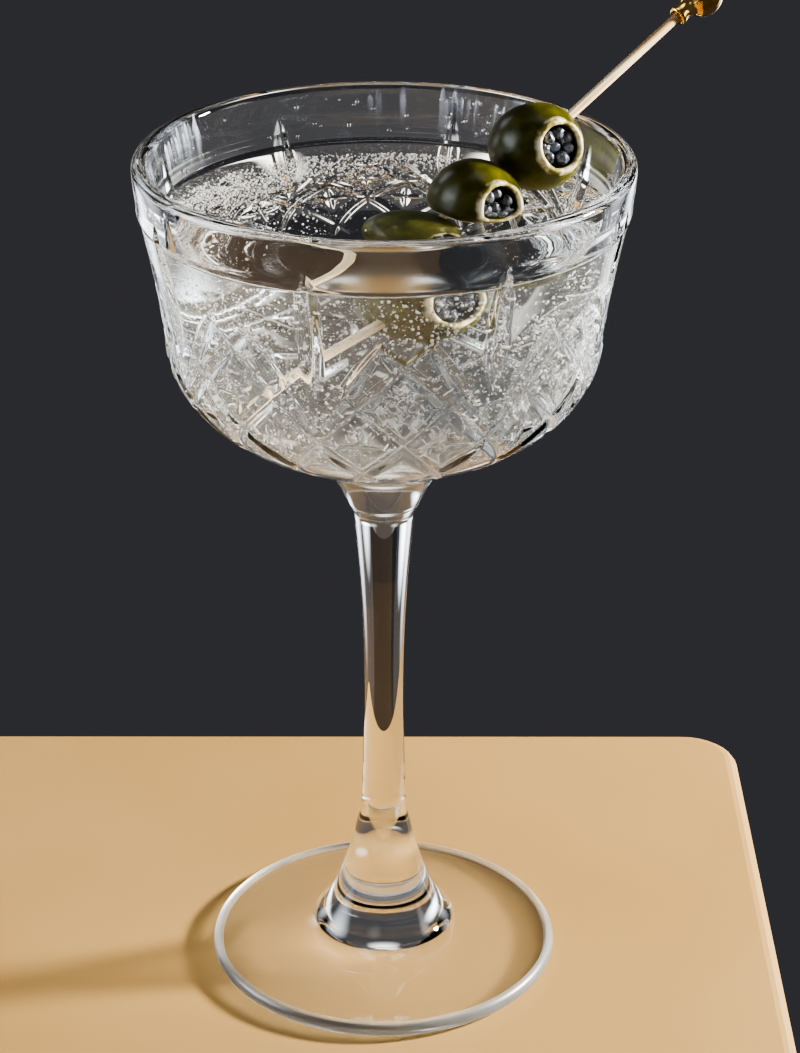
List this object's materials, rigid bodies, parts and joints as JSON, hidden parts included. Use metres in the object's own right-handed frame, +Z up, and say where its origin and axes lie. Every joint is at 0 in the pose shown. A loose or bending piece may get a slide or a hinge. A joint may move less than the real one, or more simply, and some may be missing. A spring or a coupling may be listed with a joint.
{
  "type": "stemmed cocktail glass",
  "caption": "Stemmed coupe with a diamond and fan cut bowl, a clear drink, and stuffed olives on a leaning pick with a gold ball that lifts out.",
  "frame": {"origin": "centre of the foot's flat underside, where the glass stands", "axes": "+Z up along the stem, -Y towards the viewer of the picture, +X to the right, the side the pick leans over"},
  "size_m": [0.1124, 0.0959, 0.1934],
  "materials": {
    "glass": "polished",
    "drink": "gloss",
    "bamboo": "satin",
    "gold": "polished",
    "olive": "gloss",
    "filling": "gloss"
  },
  "bodies": {
    "glass": {"bowl": "glass", "stem": "glass", "foot": "glass", "drink": "drink"},
    "pick": {"pick": "bamboo", "gold_bead": "gold"},
    "upper_olive": {"olive_upper": "olive", "filling_upper": "filling"},
    "middle_olive": {"olive_middle": "olive", "filling_middle": "filling"},
    "lower_olive": {"olive_lower": "olive", "filling_lower": "filling"}
  },
  "joints": [
    {"name": "garnish_lift", "type": "slide", "parent": "glass", "child": "pick", "axis": [0, 0, 1], "range_m": [0, 0.075], "deforming": ["drink"]},
    {"name": "upper_olive_slide", "type": "slide", "parent": "pick", "child": "upper_olive", "axis": [-0.684, -0.5704, -0.4548], "range_m": [0, 0.01], "deforming": ["drink"]},
    {"name": "middle_olive_slide", "type": "slide", "parent": "upper_olive", "child": "middle_olive", "axis": [-0.684, -0.5704, -0.4548], "range_m": [0, 0.01], "deforming": ["drink"]},
    {"name": "lower_olive_slide", "type": "slide", "parent": "middle_olive", "child": "lower_olive", "axis": [-0.684, -0.5704, -0.4548], "range_m": [0, 0.01], "deforming": ["drink"]}
  ]
}
